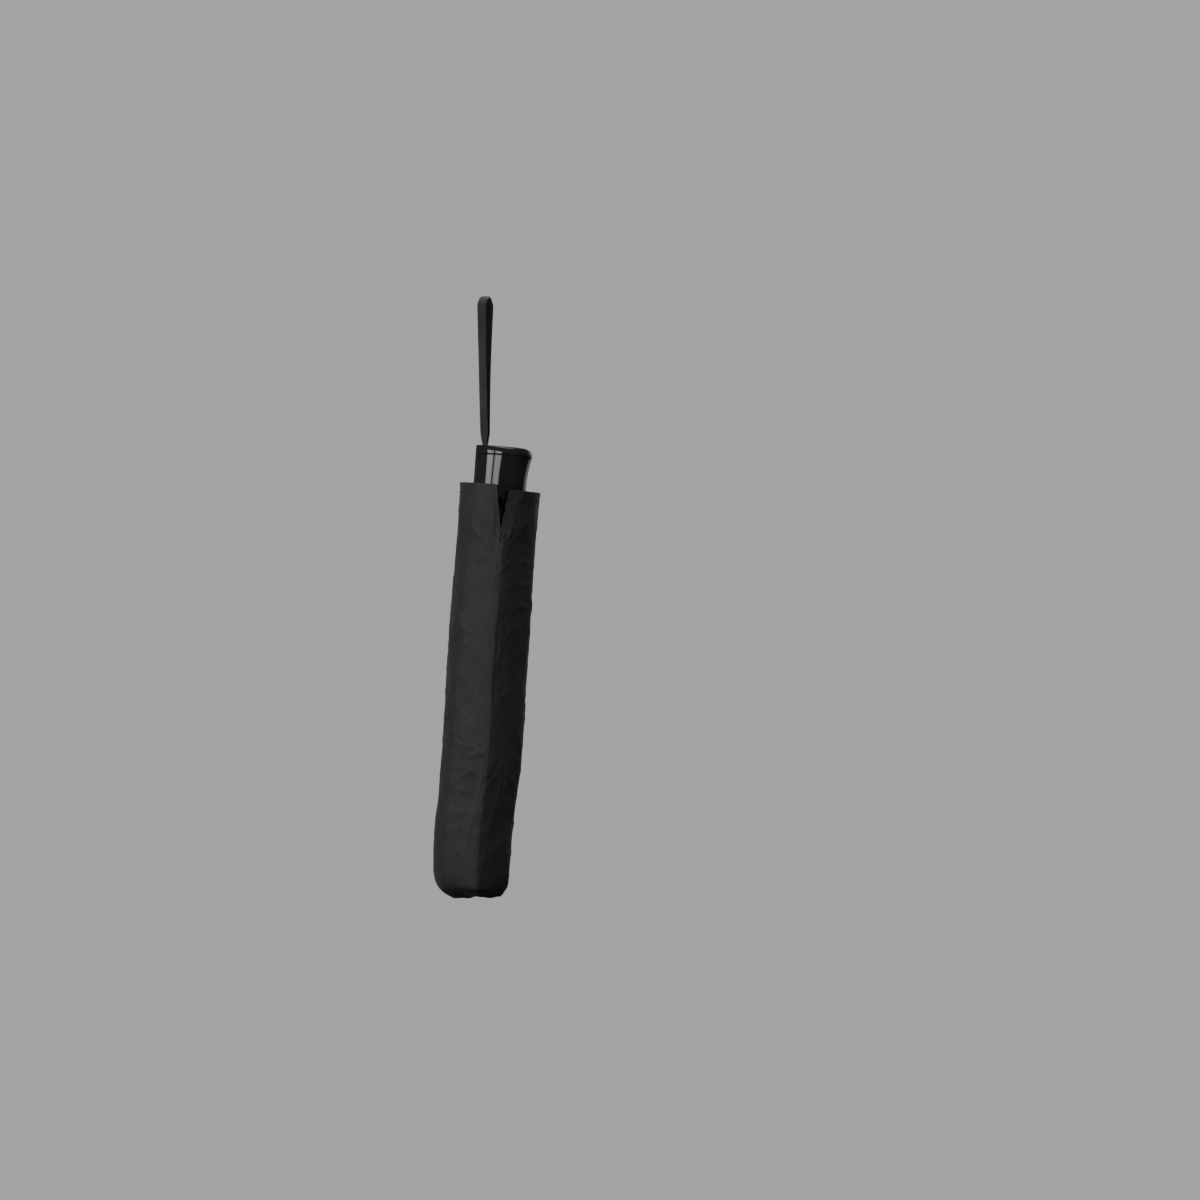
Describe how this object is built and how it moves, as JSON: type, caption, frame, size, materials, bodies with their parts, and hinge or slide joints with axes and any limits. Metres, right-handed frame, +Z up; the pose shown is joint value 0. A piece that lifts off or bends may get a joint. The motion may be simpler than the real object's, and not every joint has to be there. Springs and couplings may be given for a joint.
{
  "type": "folding pocket umbrella",
  "caption": "Three-fold pocket umbrella in a slip-on fabric sleeve, hanging by its wrist strap, with telescopic shaft, folding ribs, canopy and push button.",
  "frame": {"origin": "inside top of the wrist strap's loop, where a hook or bar carries it", "axes": "+Z up as the umbrella hangs; -Y is the side of the sleeve's slit and of the push button; the shaft leans 4.4 degrees in the XZ plane, its crown towards -X"},
  "size_m": [0.0685, 0.0512, 0.3895],
  "materials": {
    "webbing": "woven black polyester tape",
    "handle_gloss": "polished black moulding",
    "black_plastic": "satin black moulding",
    "steel": "plated steel",
    "aluminium": "satin anodised",
    "rib_black": "black lacquered steel",
    "canopy_cloth": "black pongee cloth",
    "sleeve_cloth": "matte black woven polyester"
  },
  "bodies": {
    "strap": {"wrist_strap": "webbing"},
    "handle": {"strap_eyelet": "black_plastic", "end_cap": "handle_gloss", "cap_screw": "steel", "handle_shell": "handle_gloss", "outer_tube": "aluminium"},
    "button": {"push_button": "handle_gloss", "latch_plate": "steel", "button_spring": "steel"},
    "middle_shaft": {"middle_tube": "aluminium"},
    "crown": {"inner_tube": "aluminium", "crown_notch": "black_plastic", "crown_wire": "steel", "crown_cap": "black_plastic", "opening_spring": "steel"},
    "runner": {"runner": "black_plastic"},
    "sleeve": {"sleeve": "sleeve_cloth"},
    "rib_inner_1": {"rib_inner_1": "rib_black"},
    "rib_middle_1": {"rib_middle_1": "rib_black"},
    "rib_outer_1": {"rib_outer_1": "rib_black", "closing_strap": "canopy_cloth"},
    "stretcher_1": {"stretcher_1": "steel"},
    "canopy_inner_1": {"canopy_inner_1": "canopy_cloth"},
    "canopy_middle_1": {"canopy_middle_1": "canopy_cloth"},
    "canopy_outer_1": {"canopy_outer_1": "canopy_cloth"},
    "rib_inner_2": {"rib_inner_2": "rib_black"},
    "rib_middle_2": {"rib_middle_2": "rib_black"},
    "rib_outer_2": {"rib_outer_2": "rib_black"},
    "stretcher_2": {"stretcher_2": "steel"},
    "canopy_inner_2": {"canopy_inner_2": "canopy_cloth"},
    "canopy_middle_2": {"canopy_middle_2": "canopy_cloth"},
    "canopy_outer_2": {"canopy_outer_2": "canopy_cloth"},
    "rib_inner_3": {"rib_inner_3": "rib_black"},
    "rib_middle_3": {"rib_middle_3": "rib_black"},
    "rib_outer_3": {"rib_outer_3": "rib_black"},
    "stretcher_3": {"stretcher_3": "steel"},
    "canopy_inner_3": {"canopy_inner_3": "canopy_cloth"},
    "canopy_middle_3": {"canopy_middle_3": "canopy_cloth"},
    "canopy_outer_3": {"canopy_outer_3": "canopy_cloth"},
    "rib_inner_4": {"rib_inner_4": "rib_black"},
    "rib_middle_4": {"rib_middle_4": "rib_black"},
    "rib_outer_4": {"rib_outer_4": "rib_black"},
    "stretcher_4": {"stretcher_4": "steel"},
    "canopy_inner_4": {"canopy_inner_4": "canopy_cloth"},
    "canopy_middle_4": {"canopy_middle_4": "canopy_cloth"},
    "canopy_outer_4": {"canopy_outer_4": "canopy_cloth"},
    "rib_inner_5": {"rib_inner_5": "rib_black"},
    "rib_middle_5": {"rib_middle_5": "rib_black"},
    "rib_outer_5": {"rib_outer_5": "rib_black"},
    "stretcher_5": {"stretcher_5": "steel"},
    "canopy_inner_5": {"canopy_inner_5": "canopy_cloth"},
    "canopy_middle_5": {"canopy_middle_5": "canopy_cloth"},
    "canopy_outer_5": {"canopy_outer_5": "canopy_cloth"},
    "rib_inner_6": {"rib_inner_6": "rib_black"},
    "rib_middle_6": {"rib_middle_6": "rib_black"},
    "rib_outer_6": {"rib_outer_6": "rib_black"},
    "stretcher_6": {"stretcher_6": "steel"},
    "canopy_inner_6": {"canopy_inner_6": "canopy_cloth"},
    "canopy_middle_6": {"canopy_middle_6": "canopy_cloth"},
    "canopy_outer_6": {"canopy_outer_6": "canopy_cloth"}
  },
  "joints": [
    {"name": "strap_swing", "type": "hinge", "parent": "strap", "child": "handle", "pos_m": [0, 0, -0.097], "axis": [0, 1, 0], "range_deg": [-35, 35], "deforming": ["wrist_strap"]},
    {"name": "sleeve_pull", "type": "slide", "parent": "handle", "child": "sleeve", "axis": [-0.0767, 0, -0.9971], "range_m": [0, 0.6], "deforming": ["sleeve"]},
    {"name": "button_press", "type": "slide", "parent": "handle", "child": "button", "axis": [0, 1, 0], "range_m": [0, 0.0025], "stiffness_N_per_m": 600, "springref_m": -0.0015, "deforming": ["button_spring"]},
    {"name": "open", "type": "slide", "parent": "handle", "child": "middle_shaft", "axis": [-0.0767, 0, -0.9971], "range_m": [0, 0.15], "deforming": ["opening_spring", "canopy_inner_1", "canopy_middle_1", "canopy_outer_1", "canopy_inner_2", "canopy_middle_2", "canopy_outer_2", "canopy_inner_3", "canopy_middle_3", "canopy_outer_3", "canopy_inner_4", "canopy_middle_4", "canopy_outer_4", "canopy_inner_5", "canopy_middle_5", "canopy_outer_5", "canopy_inner_6", "canopy_middle_6", "canopy_outer_6", "closing_strap"]},
    {"name": "inner_tube_slide", "type": "slide", "parent": "middle_shaft", "child": "crown", "axis": [-0.0767, 0, -0.9971], "range_m": [0, 0.15002]},
    {"name": "runner_slide", "type": "slide", "parent": "crown", "child": "runner", "axis": [-0.0767, 0, -0.9971], "range_m": [0, 0.14755]},
    {"name": "rib_inner_hinge_1", "type": "hinge", "parent": "crown", "child": "rib_inner_1", "pos_m": [-0.00419, -0.00814, -0.36266], "axis": [0.8635, 0.5, -0.0664], "range_deg": [0, 83.02]},
    {"name": "stretcher_hinge_1", "type": "hinge", "parent": "rib_inner_1", "child": "stretcher_1", "pos_m": [0.00225, -0.00814, -0.27891], "axis": [0.8635, 0.5, -0.0664], "range_deg": [-166.02, 0]},
    {"name": "rib_middle_hinge_1", "type": "hinge", "parent": "rib_inner_1", "child": "rib_middle_1", "pos_m": [0.0102, -0.00996, -0.18925], "axis": [0.8635, 0.5, -0.0664], "range_deg": [-195.02, 0]},
    {"name": "rib_outer_hinge_1", "type": "hinge", "parent": "rib_middle_1", "child": "rib_outer_1", "pos_m": [-0.0017, -0.01221, -0.36085], "axis": [0.8635, 0.5, -0.0664], "range_deg": [0, 162.02]},
    {"name": "canopy_inner_fan_1", "type": "hinge", "parent": "rib_inner_1", "child": "canopy_inner_1", "pos_m": [-0.00375, -0.01022, -0.37249], "axis": [-0.5579, 0.8288, 0.0429], "range_deg": [0, 59.53]},
    {"name": "canopy_middle_fan_1", "type": "hinge", "parent": "rib_middle_1", "child": "canopy_middle_1", "pos_m": [0.02417, -0.00788, 0.00791], "axis": [0.3047, -0.9522, -0.0234], "range_deg": [0, 55.26]},
    {"name": "canopy_outer_fan_1", "type": "hinge", "parent": "rib_outer_1", "child": "canopy_outer_1", "pos_m": [-0.03479, -0.01429, -0.8066], "axis": [-0.7678, 0.638, 0.0591], "range_deg": [0, 45.06]},
    {"name": "rib_inner_hinge_2", "type": "hinge", "parent": "crown", "child": "rib_inner_2", "pos_m": [0.00049, 0, -0.36302], "axis": [0, 1, 0], "range_deg": [0, 83.02]},
    {"name": "stretcher_hinge_2", "type": "hinge", "parent": "rib_inner_2", "child": "stretcher_2", "pos_m": [0.00694, 0, -0.27927], "axis": [0, 1, 0], "range_deg": [-166.02, 0]},
    {"name": "rib_middle_hinge_2", "type": "hinge", "parent": "rib_inner_2", "child": "rib_middle_2", "pos_m": [0.01594, 0, -0.1897], "axis": [0, 1, 0], "range_deg": [-195.02, 0]},
    {"name": "rib_outer_hinge_2", "type": "hinge", "parent": "rib_middle_2", "child": "rib_outer_2", "pos_m": [0.00533, 0, -0.36139], "axis": [0, 1, 0], "range_deg": [0, 162.02]},
    {"name": "canopy_inner_fan_2", "type": "hinge", "parent": "rib_inner_2", "child": "canopy_inner_2", "pos_m": [0.00214, 0, -0.37294], "axis": [-0.9946, -0.0702, 0.0765], "range_deg": [0, 59.53]},
    {"name": "canopy_middle_fan_2", "type": "hinge", "parent": "rib_middle_2", "child": "canopy_middle_2", "pos_m": [0.02871, 0, 0.00756], "axis": [0.9745, -0.2114, -0.075], "range_deg": [0, 55.26]},
    {"name": "canopy_outer_fan_2", "type": "hinge", "parent": "rib_outer_2", "child": "canopy_outer_2", "pos_m": [-0.02657, 0, -0.80723], "axis": [-0.9348, -0.3479, 0.0719], "range_deg": [0, 45.06]},
    {"name": "rib_inner_hinge_3", "type": "hinge", "parent": "crown", "child": "rib_inner_3", "pos_m": [-0.00419, 0.00814, -0.36266], "axis": [-0.8635, 0.5, 0.0664], "range_deg": [0, 83.02]},
    {"name": "stretcher_hinge_3", "type": "hinge", "parent": "rib_inner_3", "child": "stretcher_3", "pos_m": [0.00225, 0.00814, -0.27891], "axis": [-0.8635, 0.5, 0.0664], "range_deg": [-166.02, 0]},
    {"name": "rib_middle_hinge_3", "type": "hinge", "parent": "rib_inner_3", "child": "rib_middle_3", "pos_m": [0.0102, 0.00996, -0.18925], "axis": [-0.8635, 0.5, 0.0664], "range_deg": [-195.02, 0]},
    {"name": "rib_outer_hinge_3", "type": "hinge", "parent": "rib_middle_3", "child": "rib_outer_3", "pos_m": [-0.0017, 0.01221, -0.36085], "axis": [-0.8635, 0.5, 0.0664], "range_deg": [0, 162.02]},
    {"name": "canopy_inner_fan_3", "type": "hinge", "parent": "rib_inner_3", "child": "canopy_inner_3", "pos_m": [-0.00375, 0.01022, -0.37249], "axis": [-0.4367, -0.899, 0.0336], "range_deg": [0, 59.53]},
    {"name": "canopy_middle_fan_3", "type": "hinge", "parent": "rib_middle_3", "child": "canopy_middle_3", "pos_m": [0.02417, 0.00788, 0.00791], "axis": [0.6698, 0.7408, -0.0515], "range_deg": [0, 55.26]},
    {"name": "canopy_outer_fan_3", "type": "hinge", "parent": "rib_outer_3", "child": "canopy_outer_3", "pos_m": [-0.03479, 0.01429, -0.8066], "axis": [-0.167, -0.9859, 0.0128], "range_deg": [0, 45.06]},
    {"name": "rib_inner_hinge_4", "type": "hinge", "parent": "crown", "child": "rib_inner_4", "pos_m": [-0.01357, 0.00814, -0.36194], "axis": [-0.8635, -0.5, 0.0664], "range_deg": [0, 83.02]},
    {"name": "stretcher_hinge_4", "type": "hinge", "parent": "rib_inner_4", "child": "stretcher_4", "pos_m": [-0.00712, 0.00814, -0.27819], "axis": [-0.8635, -0.5, 0.0664], "range_deg": [-166.02, 0]},
    {"name": "rib_middle_hinge_4", "type": "hinge", "parent": "rib_inner_4", "child": "rib_middle_4", "pos_m": [-0.00126, 0.00996, -0.18837], "axis": [-0.8635, -0.5, 0.0664], "range_deg": [-195.02, 0]},
    {"name": "rib_outer_hinge_4", "type": "hinge", "parent": "rib_middle_4", "child": "rib_outer_4", "pos_m": [-0.01576, 0.01221, -0.35977], "axis": [-0.8635, -0.5, 0.0664], "range_deg": [0, 162.02]},
    {"name": "canopy_inner_fan_4", "type": "hinge", "parent": "rib_inner_4", "child": "canopy_inner_4", "pos_m": [-0.01551, 0.01022, -0.37158], "axis": [0.5579, -0.8288, -0.0429], "range_deg": [0, 59.53]},
    {"name": "canopy_middle_fan_4", "type": "hinge", "parent": "rib_middle_4", "child": "canopy_middle_4", "pos_m": [0.0151, 0.00788, 0.0086], "axis": [-0.3047, 0.9522, 0.0234], "range_deg": [0, 55.26]},
    {"name": "canopy_outer_fan_4", "type": "hinge", "parent": "rib_outer_4", "child": "canopy_outer_4", "pos_m": [-0.05124, 0.01429, -0.80533], "axis": [0.7678, -0.638, -0.0591], "range_deg": [0, 45.06]},
    {"name": "rib_inner_hinge_5", "type": "hinge", "parent": "crown", "child": "rib_inner_5", "pos_m": [-0.01825, 0, -0.36158], "axis": [0, -1, 0], "range_deg": [0, 83.02]},
    {"name": "stretcher_hinge_5", "type": "hinge", "parent": "rib_inner_5", "child": "stretcher_5", "pos_m": [-0.01181, 0, -0.27783], "axis": [0, -1, 0], "range_deg": [-166.02, 0]},
    {"name": "rib_middle_hinge_5", "type": "hinge", "parent": "rib_inner_5", "child": "rib_middle_5", "pos_m": [-0.007, 0, -0.18793], "axis": [0, -1, 0], "range_deg": [-195.02, 0]},
    {"name": "rib_outer_hinge_5", "type": "hinge", "parent": "rib_middle_5", "child": "rib_outer_5", "pos_m": [-0.02278, 0, -0.35922], "axis": [0, -1, 0], "range_deg": [0, 162.02]},
    {"name": "canopy_inner_fan_5", "type": "hinge", "parent": "rib_inner_5", "child": "canopy_inner_5", "pos_m": [-0.02139, 0, -0.37113], "axis": [0.9946, 0.0702, -0.0765], "range_deg": [0, 59.53]},
    {"name": "canopy_middle_fan_5", "type": "hinge", "parent": "rib_middle_5", "child": "canopy_middle_5", "pos_m": [0.01056, 0, 0.00895], "axis": [-0.9745, 0.2114, 0.075], "range_deg": [0, 55.26]},
    {"name": "canopy_outer_fan_5", "type": "hinge", "parent": "rib_outer_5", "child": "canopy_outer_5", "pos_m": [-0.05947, 0, -0.8047], "axis": [0.9348, 0.3479, -0.0719], "range_deg": [0, 45.06]},
    {"name": "rib_inner_hinge_6", "type": "hinge", "parent": "crown", "child": "rib_inner_6", "pos_m": [-0.01357, -0.00814, -0.36194], "axis": [0.8635, -0.5, -0.0664], "range_deg": [0, 83.02]},
    {"name": "stretcher_hinge_6", "type": "hinge", "parent": "rib_inner_6", "child": "stretcher_6", "pos_m": [-0.00712, -0.00814, -0.27819], "axis": [0.8635, -0.5, -0.0664], "range_deg": [-166.02, 0]},
    {"name": "rib_middle_hinge_6", "type": "hinge", "parent": "rib_inner_6", "child": "rib_middle_6", "pos_m": [-0.00126, -0.00996, -0.18837], "axis": [0.8635, -0.5, -0.0664], "range_deg": [-195.02, 0]},
    {"name": "rib_outer_hinge_6", "type": "hinge", "parent": "rib_middle_6", "child": "rib_outer_6", "pos_m": [-0.01576, -0.01221, -0.35977], "axis": [0.8635, -0.5, -0.0664], "range_deg": [0, 162.02]},
    {"name": "canopy_inner_fan_6", "type": "hinge", "parent": "rib_inner_6", "child": "canopy_inner_6", "pos_m": [-0.01551, -0.01022, -0.37158], "axis": [0.4367, 0.899, -0.0336], "range_deg": [0, 59.53]},
    {"name": "canopy_middle_fan_6", "type": "hinge", "parent": "rib_middle_6", "child": "canopy_middle_6", "pos_m": [0.0151, -0.00788, 0.0086], "axis": [-0.6698, -0.7408, 0.0515], "range_deg": [0, 55.26]},
    {"name": "canopy_outer_fan_6", "type": "hinge", "parent": "rib_outer_6", "child": "canopy_outer_6", "pos_m": [-0.05124, -0.01429, -0.80533], "axis": [0.167, 0.9859, -0.0128], "range_deg": [0, 45.06]}
  ],
  "couplings": [
    {"joint": "inner_tube_slide", "follows": "open", "ratio": 1},
    {"joint": "runner_slide", "follows": "open", "ratio": 0.98351},
    {"joint": "rib_inner_hinge_1", "follows": "open", "rad_per_m": 9.6575},
    {"joint": "stretcher_hinge_1", "follows": "open", "rad_per_m": -19.315},
    {"joint": "rib_middle_hinge_1", "follows": "open", "rad_per_m": -22.689},
    {"joint": "rib_outer_hinge_1", "follows": "open", "rad_per_m": 18.85},
    {"joint": "canopy_inner_fan_1", "follows": "open", "rad_per_m": 6.924},
    {"joint": "canopy_middle_fan_1", "follows": "open", "rad_per_m": 6.4273},
    {"joint": "canopy_outer_fan_1", "follows": "open", "rad_per_m": 5.2409},
    {"joint": "rib_inner_hinge_2", "follows": "open", "rad_per_m": 9.6575},
    {"joint": "stretcher_hinge_2", "follows": "open", "rad_per_m": -19.315},
    {"joint": "rib_middle_hinge_2", "follows": "open", "rad_per_m": -22.689},
    {"joint": "rib_outer_hinge_2", "follows": "open", "rad_per_m": 18.85},
    {"joint": "canopy_inner_fan_2", "follows": "open", "rad_per_m": 6.924},
    {"joint": "canopy_middle_fan_2", "follows": "open", "rad_per_m": 6.4273},
    {"joint": "canopy_outer_fan_2", "follows": "open", "rad_per_m": 5.2409},
    {"joint": "rib_inner_hinge_3", "follows": "open", "rad_per_m": 9.6575},
    {"joint": "stretcher_hinge_3", "follows": "open", "rad_per_m": -19.315},
    {"joint": "rib_middle_hinge_3", "follows": "open", "rad_per_m": -22.689},
    {"joint": "rib_outer_hinge_3", "follows": "open", "rad_per_m": 18.85},
    {"joint": "canopy_inner_fan_3", "follows": "open", "rad_per_m": 6.924},
    {"joint": "canopy_middle_fan_3", "follows": "open", "rad_per_m": 6.4273},
    {"joint": "canopy_outer_fan_3", "follows": "open", "rad_per_m": 5.2409},
    {"joint": "rib_inner_hinge_4", "follows": "open", "rad_per_m": 9.6575},
    {"joint": "stretcher_hinge_4", "follows": "open", "rad_per_m": -19.315},
    {"joint": "rib_middle_hinge_4", "follows": "open", "rad_per_m": -22.689},
    {"joint": "rib_outer_hinge_4", "follows": "open", "rad_per_m": 18.85},
    {"joint": "canopy_inner_fan_4", "follows": "open", "rad_per_m": 6.924},
    {"joint": "canopy_middle_fan_4", "follows": "open", "rad_per_m": 6.4273},
    {"joint": "canopy_outer_fan_4", "follows": "open", "rad_per_m": 5.2409},
    {"joint": "rib_inner_hinge_5", "follows": "open", "rad_per_m": 9.6575},
    {"joint": "stretcher_hinge_5", "follows": "open", "rad_per_m": -19.315},
    {"joint": "rib_middle_hinge_5", "follows": "open", "rad_per_m": -22.689},
    {"joint": "rib_outer_hinge_5", "follows": "open", "rad_per_m": 18.85},
    {"joint": "canopy_inner_fan_5", "follows": "open", "rad_per_m": 6.924},
    {"joint": "canopy_middle_fan_5", "follows": "open", "rad_per_m": 6.4273},
    {"joint": "canopy_outer_fan_5", "follows": "open", "rad_per_m": 5.2409},
    {"joint": "rib_inner_hinge_6", "follows": "open", "rad_per_m": 9.6575},
    {"joint": "stretcher_hinge_6", "follows": "open", "rad_per_m": -19.315},
    {"joint": "rib_middle_hinge_6", "follows": "open", "rad_per_m": -22.689},
    {"joint": "rib_outer_hinge_6", "follows": "open", "rad_per_m": 18.85},
    {"joint": "canopy_inner_fan_6", "follows": "open", "rad_per_m": 6.924},
    {"joint": "canopy_middle_fan_6", "follows": "open", "rad_per_m": 6.4273},
    {"joint": "canopy_outer_fan_6", "follows": "open", "rad_per_m": 5.2409}
  ]
}
